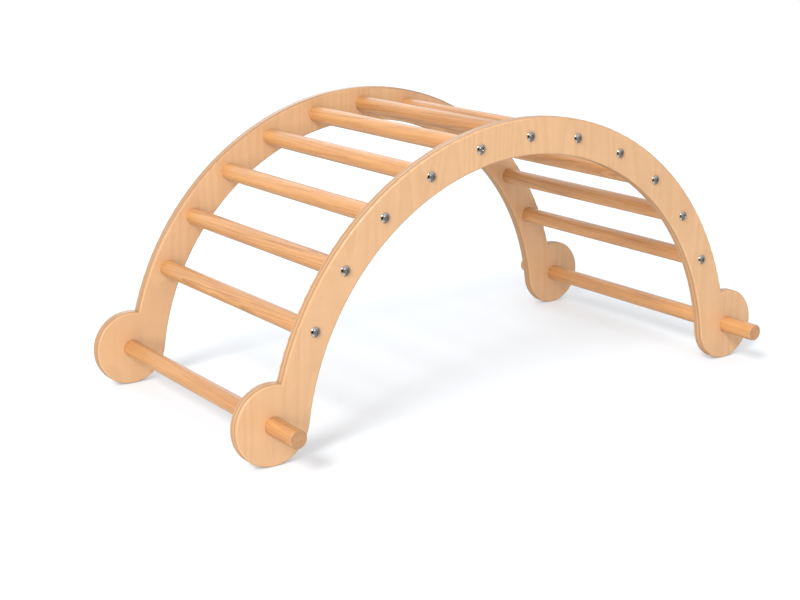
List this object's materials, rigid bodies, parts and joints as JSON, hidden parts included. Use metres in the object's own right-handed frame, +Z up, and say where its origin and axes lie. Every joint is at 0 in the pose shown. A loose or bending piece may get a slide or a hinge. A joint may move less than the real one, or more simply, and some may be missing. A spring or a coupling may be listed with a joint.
{
  "type": "rocker arch",
  "caption": "Free-standing climbing and rocking arch for a child: two plywood arch sides on round feet, joined by round wooden rungs and two long foot bars.",
  "frame": {"origin": "on the floor, under the middle of the arch", "axes": "+X along the length towards the right foot, +Y across the width away from the near side, +Z up"},
  "size_m": [1.04, 0.61, 0.4599],
  "materials": {
    "birch_plywood": "clear satin varnish on birch plywood, face grain upright",
    "rung_beech": "clear satin varnish on beech dowel",
    "foot_bar_beech": "clear satin varnish on beech dowel, end grain bare",
    "bolt_steel": "bright nickel plate",
    "insert_steel": "yellow zinc plate",
    "screw_steel": "yellow zinc plate"
  },
  "bodies": {
    "root": {"near_side_arch": "birch_plywood", "far_side_arch": "birch_plywood", "rung_01": "rung_beech", "rung_02": "rung_beech", "rung_03": "rung_beech", "rung_04": "rung_beech", "rung_05": "rung_beech", "rung_06": "rung_beech", "rung_07": "rung_beech", "rung_08": "rung_beech", "rung_09": "rung_beech", "rung_10": "rung_beech", "rung_11": "rung_beech", "left_foot_bar": "foot_bar_beech", "right_foot_bar": "foot_bar_beech", "near_bolts": "bolt_steel", "far_bolts": "bolt_steel", "near_insert_nuts": "insert_steel", "far_insert_nuts": "insert_steel", "left_bar_screws": "screw_steel", "right_bar_screws": "screw_steel"}
  },
  "joints": []
}
